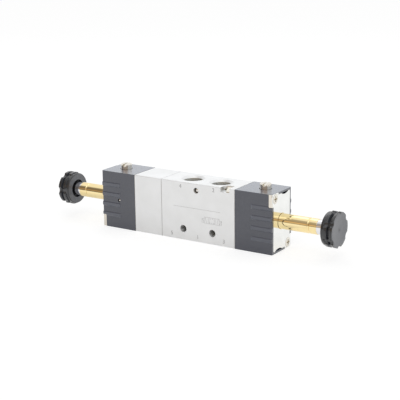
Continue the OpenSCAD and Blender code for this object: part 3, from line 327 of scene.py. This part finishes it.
finishes = {
    "satin_aluminium": {
        "metallic": 1.0, "dark": (0.835, 0.845, 0.85), "light": (0.88, 0.89, 0.90),
        "roughness": (0.38, 0.5), "patchScale": 90.0,
        "grainScale": 5200.0, "bump": 0.12, "bumpDepth": 0.00006,
    },
    "slate_plastic": {
        "metallic": 0.0, "dark": (0.044, 0.049, 0.076), "light": (0.053, 0.058, 0.086),
        "roughness": (0.24, 0.32), "patchScale": 120.0,
        "grainScale": 3800.0, "bump": 0.1, "bumpDepth": 0.00005,
        "coat": (1.0, 0.22, 1.6),
        "second": ("Object", "Y", (0.01105, 0.01115), (0.080, 0.088, 0.124)),  # the ribs, with a painted sheen that makes them lighter and bluer
        # a painted sheen: lighter and bluer where the surface turns away
        "rim": (0.5, 0.78, (0.12, 0.165, 0.26)),
    },
    "gasket_rubber": {
        "metallic": 0.0, "dark": (0.46, 0.44, 0.42), "light": (0.54, 0.52, 0.50),
        "roughness": (0.7, 0.85), "patchScale": 300.0,
        "grainScale": 4000.0, "bump": 0.1, "bumpDepth": 0.00005,
    },
    "plated_steel": {
        "metallic": 1.0, "dark": (0.825, 0.83, 0.81), "light": (0.885, 0.89, 0.87),
        "roughness": (0.05, 0.1), "patchScale": 150.0,
        "grainScale": 2500.0, "bump": 0.02, "bumpDepth": 0.00003,
        "second": ("Normal", "Y", (0.8, 0.95), (0.74, 0.69, 0.61)),  # the bent tabs, with a painted warm reflection
    },
    "nickel_screw": {
        "metallic": 1.0, "dark": (0.72, 0.68, 0.60), "light": (0.80, 0.77, 0.70),
        "roughness": (0.14, 0.24), "patchScale": 400.0,
        "grainScale": 2600.0, "bump": 0.04, "bumpDepth": 0.00003,
    },
    "polished_steel": {
        "metallic": 1.0, "dark": (0.82, 0.80, 0.76), "light": (0.88, 0.86, 0.83),
        "roughness": (0.06, 0.1), "patchScale": 400.0,
        "grainScale": 3000.0, "bump": 0.01, "bumpDepth": 0.00002,
        # a painted dark reflection where the surface turns away
        "rim": (0.12, 0.34, (0.05, 0.045, 0.04)),
    },
    "turned_brass": {
        "metallic": 1.0, "dark": (0.80, 0.62, 0.30), "light": (0.88, 0.71, 0.38),
        "roughness": (0.2, 0.3), "patchScale": 260.0,
        "grainScale": 1200.0, "stretch": (1, 1, 9), "bump": 0.05, "bumpDepth": 0.00003,
    },
    "brass": {
        "metallic": 1.0, "dark": (0.91, 0.735, 0.38), "light": (0.96, 0.795, 0.445),
        "roughness": (0.03, 0.06), "patchScale": 160.0,
        "grainScale": 1500.0, "stretch": (6, 1, 1), "bump": 0.02, "bumpDepth": 0.00003,
    },
    "seal_rubber": {
        "metallic": 0.0, "dark": (0.018, 0.018, 0.02), "light": (0.03, 0.03, 0.032),
        "roughness": (0.45, 0.6), "patchScale": 500.0,
        "grainScale": 5000.0, "bump": 0.06, "bumpDepth": 0.00003,
    },
    "core_steel": {
        "metallic": 1.0, "dark": (0.76, 0.76, 0.79), "light": (0.84, 0.84, 0.87),
        "roughness": (0.05, 0.09), "patchScale": 200.0,
        "grainScale": 800.0, "stretch": (8, 1, 1), "bump": 0.04, "bumpDepth": 0.00003,
    },
    "pin_steel": {
        "metallic": 1.0, "dark": (0.62, 0.62, 0.63), "light": (0.72, 0.72, 0.73),
        "roughness": (0.15, 0.25), "patchScale": 300.0,
        "grainScale": 1500.0, "stretch": (8, 1, 1), "bump": 0.04, "bumpDepth": 0.00002,
    },
    "spring_steel": {
        "metallic": 1.0, "dark": (0.55, 0.55, 0.56), "light": (0.66, 0.66, 0.67),
        "roughness": (0.22, 0.34), "patchScale": 350.0,
        "grainScale": 2600.0, "bump": 0.05, "bumpDepth": 0.00002,
    },
    "spool_aluminium": {
        "metallic": 1.0, "dark": (0.68, 0.68, 0.70), "light": (0.78, 0.78, 0.80),
        "roughness": (0.22, 0.32), "patchScale": 200.0,
        "grainScale": 900.0, "stretch": (9, 1, 1), "bump": 0.05, "bumpDepth": 0.00003,
    },
    "piston_plastic": {
        "metallic": 0.0, "dark": (0.40, 0.40, 0.38), "light": (0.48, 0.48, 0.46),
        "roughness": (0.4, 0.5), "patchScale": 200.0,
        "grainScale": 3000.0, "bump": 0.05, "bumpDepth": 0.00003,
    },
    "armature_steel": {
        "metallic": 1.0, "dark": (0.58, 0.58, 0.58), "light": (0.68, 0.68, 0.68),
        "roughness": (0.2, 0.3), "patchScale": 260.0,
        "grainScale": 1100.0, "stretch": (9, 1, 1), "bump": 0.05, "bumpDepth": 0.00003,
    },
    "override_nickel": {
        "metallic": 1.0, "dark": (0.74, 0.70, 0.62), "light": (0.82, 0.79, 0.72),
        "roughness": (0.09, 0.15), "patchScale": 400.0,
        "grainScale": 1800.0, "stretch": (1, 1, 5), "bump": 0.04, "bumpDepth": 0.00003,
    },
    "etched_mark": {
        "metallic": 0.0, "dark": (0.40, 0.395, 0.39), "light": (0.50, 0.495, 0.49),
        "roughness": (0.6, 0.75), "patchScale": 700.0,
        "grainScale": 6000.0, "bump": 0.05, "bumpDepth": 0.00002,
    },
    "black_plastic": {
        "metallic": 0.0, "dark": (0.014, 0.015, 0.018), "light": (0.020, 0.0215, 0.026),
        "roughness": (0.3, 0.42), "patchScale": 160.0,
        "grainScale": 3000.0, "bump": 0.06, "bumpDepth": 0.00004,
        "ior": 1.55, "coat": (0.6, 0.12, 1.5),
        "second": ("Normal", "X", (0.9, 0.97), (0.108, 0.115, 0.134)),  # the flat ends, with a painted sheen that makes them lighter grey
    },
}
# The valve body's own satin finish, with painted shade darkening its ports and drillings: within
# these distances from its middle plane and heights above its base, in metres
finishes["aluminium_with_painted_port_shade"] = dict(finishes["satin_aluminium"], inside={
    "aside": (0.0062, 0.0066), "below": (0.0332, 0.0338), "above": (0.0012, 0.0018),
    "tone": (0.51, 0.51, 0.465),
})
ownFinish = {"valve_body": "aluminium_with_painted_port_shade"}  # the other nodes have their record's slot
materials = {name: makeFinish(name, finish) for name, finish in finishes.items()}
for part in frame["record"]["subparts"]:
    slots = nodes[part["node"]].data.materials
    slots.clear()
    slots.append(materials[ownFinish.get(part["node"], part["material_slot"])])
print("materials made:", len(materials))

# Rounded edges on the CAD nodes, in millimetres and degrees
edgeRounds = {
    "weldWithin": 0.002,
    "flatWithin": 0.02,
    "sharpFrom": 35,
    "segments": 2,
    "widths": {
        "valve_body": 0.15, "spring_block": 0.15,
        "pilot_housing_right": 0.25, "pilot_housing_left": 0.25,
        "end_plate_right": 0.12, "end_plate_left": 0.12,
        "coil_nut_right": 0.3, "coil_nut_left": 0.3,
    },
}


def roundEdges(node, width):
    weld = node.modifiers.new("weld", "WELD")
    weld.merge_threshold = edgeRounds["weldWithin"] * mm
    flat = node.modifiers.new("flat", "DECIMATE")  # joins the triangles of each flat face
    flat.decimate_type = "DISSOLVE"
    flat.angle_limit = radians(edgeRounds["flatWithin"])
    bevel = node.modifiers.new("bevel", "BEVEL")
    bevel.width = width * mm
    bevel.segments = edgeRounds["segments"]
    bevel.limit_method = "ANGLE"
    bevel.angle_limit = radians(edgeRounds["sharpFrom"])
    bevel.harden_normals = True


for name, width in edgeRounds["widths"].items():
    roundEdges(nodes[name], width)
print("edges rounded")


# New pieces
def selectNone():
    if bpy.context.mode != "OBJECT":
        bpy.ops.object.mode_set(mode="OBJECT")
    bpy.ops.object.select_all(action="DESELECT")


def makeActive(piece):
    selectNone()
    piece.select_set(True)
    bpy.context.view_layer.objects.active = piece


def settle(piece):
    makeActive(piece)
    bpy.ops.object.transform_apply(location=True, rotation=True, scale=True)


def applyAll(piece):
    makeActive(piece)
    for modifier in list(piece.modifiers):
        bpy.ops.object.modifier_apply(modifier=modifier.name)


def joinAll(members, name):
    selectNone()
    for member in members:
        member.select_set(True)
    bpy.context.view_layer.objects.active = members[0]
    bpy.ops.object.join()
    joined = bpy.context.object
    joined.name = name
    settle(joined)
    return joined


def dress(piece, name, slot, body):
    piece.name = name
    piece.data.materials.clear()
    piece.data.materials.append(materials[slot])
    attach(piece, body)


# Threads in the ports, in millimetres: one tooth wound up the wall of the hole. Each port has
# its kind, its place along the valve, the height of its face and the way in from there.
threads = {
    "main": {"bore": 11.45, "pitch": 1.337, "tooth": 0.42, "turns": 4, "start": 1.5},
    "exhaust": {"bore": 8.6, "pitch": 0.907, "tooth": 0.3, "turns": 5, "start": 0.9},
    "stepsPerTurn": 48,
    "mergeWithin": 0.005,
    "smoothBelow": 40,
    "ports": {
        "port_thread_4": ("main", 0.1, 35.0, -1),
        "port_thread_2": ("main", 19.4, 35.0, -1),
        "port_thread_1": ("main", 9.75, 0.0, 1),
        "port_thread_5": ("exhaust", -8.05, 0.0, 1),
        "port_thread_3": ("exhaust", 27.55, 0.0, 1),
    },
}


def makeThread(sizes):
    selectNone()
    bpy.ops.mesh.primitive_circle_add(vertices=3, radius=sizes["tooth"] * mm, location=(0, 0, 0))
    thread = bpy.context.object
    bpy.ops.object.mode_set(mode="EDIT")
    bpy.ops.mesh.select_all(action="SELECT")
    bpy.ops.transform.rotate(value=pi / 2, orient_axis="X", center_override=(0, 0, 0))
    bpy.ops.transform.rotate(value=pi / 2, orient_axis="Y", center_override=(0, 0, 0))
    bpy.ops.transform.translate(value=(sizes["bore"] / 2 * mm, 0, 0))
    bpy.ops.object.mode_set(mode="OBJECT")
    winding = thread.modifiers.new("winding", "SCREW")
    winding.axis = "Z"
    winding.screw_offset = sizes["pitch"] * mm
    winding.iterations = sizes["turns"]
    winding.steps = winding.render_steps = threads["stepsPerTurn"]
    applyAll(thread)
    bpy.ops.object.mode_set(mode="EDIT")
    bpy.ops.mesh.select_all(action="SELECT")
    bpy.ops.mesh.remove_doubles(threshold=threads["mergeWithin"] * mm)
    bpy.ops.mesh.fill_holes(sides=3)
    bpy.ops.mesh.select_all(action="SELECT")
    bpy.ops.mesh.normals_make_consistent(inside=False)
    bpy.ops.object.mode_set(mode="OBJECT")
    bpy.ops.object.shade_smooth_by_angle(angle=radians(threads["smoothBelow"]))
    return thread


def placeThreads():
    patterns = {kind: makeThread(threads[kind]) for kind in ("main", "exhaust")}
    for name, (kind, x, z, inward) in threads["ports"].items():
        thread = patterns[kind].copy()
        thread.data = patterns[kind].data.copy()
        bpy.context.collection.objects.link(thread)
        sizes = threads[kind]
        depth = sizes["start"]
        if inward < 0:  # a thread winds upwards, so a top port's starts at its far end
            depth += sizes["turns"] * sizes["pitch"]
        thread.location = (x * mm, 0, (z + inward * depth) * mm)
        settle(thread)
        dress(thread, name, "satin_aluminium", "valve")
    for pattern in patterns.values():
        bpy.data.objects.remove(pattern)


placeThreads()
print("port threads cut")

# Marks etched on the front face: plain port numbers, a rule and the working diagram, in
# millimetres. Their x is from the middle of the valve body, and their z from its base.
marks = {
    "face": -11.0, "thick": 0.01, "centre": 9.75,
    "numbers": {
        "4": (-11.7, 32.3), "2": (10.95, 32.6),
        "5": (-18.15, 3.0), "1": (0.0, 3.0), "3": (17.8, 3.0),
    },
    "numberHigh": 2.3, "textShare": 0.7,  # a number's height, and its share of the text size
    "rule": {"from": -16.9, "to": 15.5, "z": 20.1, "wide": 0.14},
}
diagram = {
    "left": 4.6, "right": 14.9, "low": 12.4, "high": 16.0, "line": 0.13,
    "slant": 0.5, "near": 0.2, "far": 0.8,  # the arrows' places in an outer box, in box widths
    "arrowLow": 0.5, "arrowHigh": 0.4,  # what the upright arrow leaves below and above it
    "firstPort": 1.1, "portStep": 0.2, "topPorts": (1, 3),  # also in box widths
    "stub": 0.7, "bar": 0.25,  # a closed port's length, and half of the bar across it
    "coilLong": 1.5, "coilLow": 0.3, "coilHigh": 1.1,  # the coils' boxes at both ends
}


def addStroke(x0, z0, x1, z1, wide):
    selectNone()
    length = ((x1 - x0) ** 2 + (z1 - z0) ** 2) ** 0.5
    bpy.ops.mesh.primitive_plane_add(size=1)
    stroke = bpy.context.object
    bpy.ops.object.mode_set(mode="EDIT")
    bpy.ops.transform.resize(value=((length + wide) * mm, wide * mm, 1))
    bpy.ops.transform.rotate(value=-pi / 2, orient_axis="X", center_override=(0, 0, 0))
    bpy.ops.object.mode_set(mode="OBJECT")
    stroke.rotation_euler = (0, -atan2(z1 - z0, x1 - x0), 0)
    x = marks["centre"] + (x0 + x1) / 2
    stroke.location = (x * mm, marks["face"] * mm, (z0 + z1) / 2 * mm)
    settle(stroke)
    return stroke


def addNumber(text, x, z):
    selectNone()
    bpy.ops.object.text_add()
    number = bpy.context.object
    number.data.body = text
    number.data.size = marks["numberHigh"] * mm / marks["textShare"]
    number.data.align_x = "CENTER"
    number.data.align_y = "CENTER"
    bpy.ops.object.convert(target="MESH")
    number = bpy.context.object
    number.rotation_euler = (pi / 2, 0, 0)
    number.location = ((marks["centre"] + x) * mm, marks["face"] * mm, z * mm)
    settle(number)
    return number


def diagramLines():  # three boxes side by side, with a coil at each end, as (x0, z0, x1, z1)
    left, right, low, high = (diagram[key] for key in ("left", "right", "low", "high"))
    box = (right - left) / 3
    lines = [(left, z, right, z) for z in (low, high)]
    lines += [(left + step * box, low, left + step * box, high) for step in range(4)]
    near, far = diagram["near"], diagram["far"]
    for start, slantTo, upright in ((left, near, far), (left + 2 * box, far, near)):
        lines.append((start + diagram["slant"] * box, low, start + slantTo * box, high))
        x = start + upright * box
        lines.append((x, low + diagram["arrowLow"], x, high - diagram["arrowHigh"]))
    for port in range(5):
        x = left + box * (diagram["firstPort"] + diagram["portStep"] * port)
        edge, inward = (high, -1) if port in diagram["topPorts"] else (low, 1)
        end = edge + inward * diagram["stub"]
        lines.append((x, edge, x, end))
        lines.append((x - diagram["bar"], end, x + diagram["bar"], end))
    for edge, way in ((left, -1), (right, 1)):
        outer = edge + way * diagram["coilLong"]
        base, top = low + diagram["coilLow"], high - diagram["coilHigh"]
        lines += [(edge, base, outer, base), (edge, top, outer, top)]
        lines += [(outer, base, outer, top), (edge, base, outer, top)]
    return lines


def makeMarks():
    numbers = [addNumber(text, x, z) for text, (x, z) in marks["numbers"].items()]
    rule = marks["rule"]
    strokes = [addStroke(rule["from"], rule["z"], rule["to"], rule["z"], rule["wide"])]
    strokes += [addStroke(*line, diagram["line"]) for line in diagramLines()]
    for name, members in (("port_numbers", numbers), ("front_lines", strokes)):
        piece = joinAll(members, name)
        thick = piece.modifiers.new("thick", "SOLIDIFY")
        thick.thickness = marks["thick"] * mm
        thick.offset = 1
        applyAll(piece)
        dress(piece, name, "etched_mark", "valve")


makeMarks()
print("marks etched")
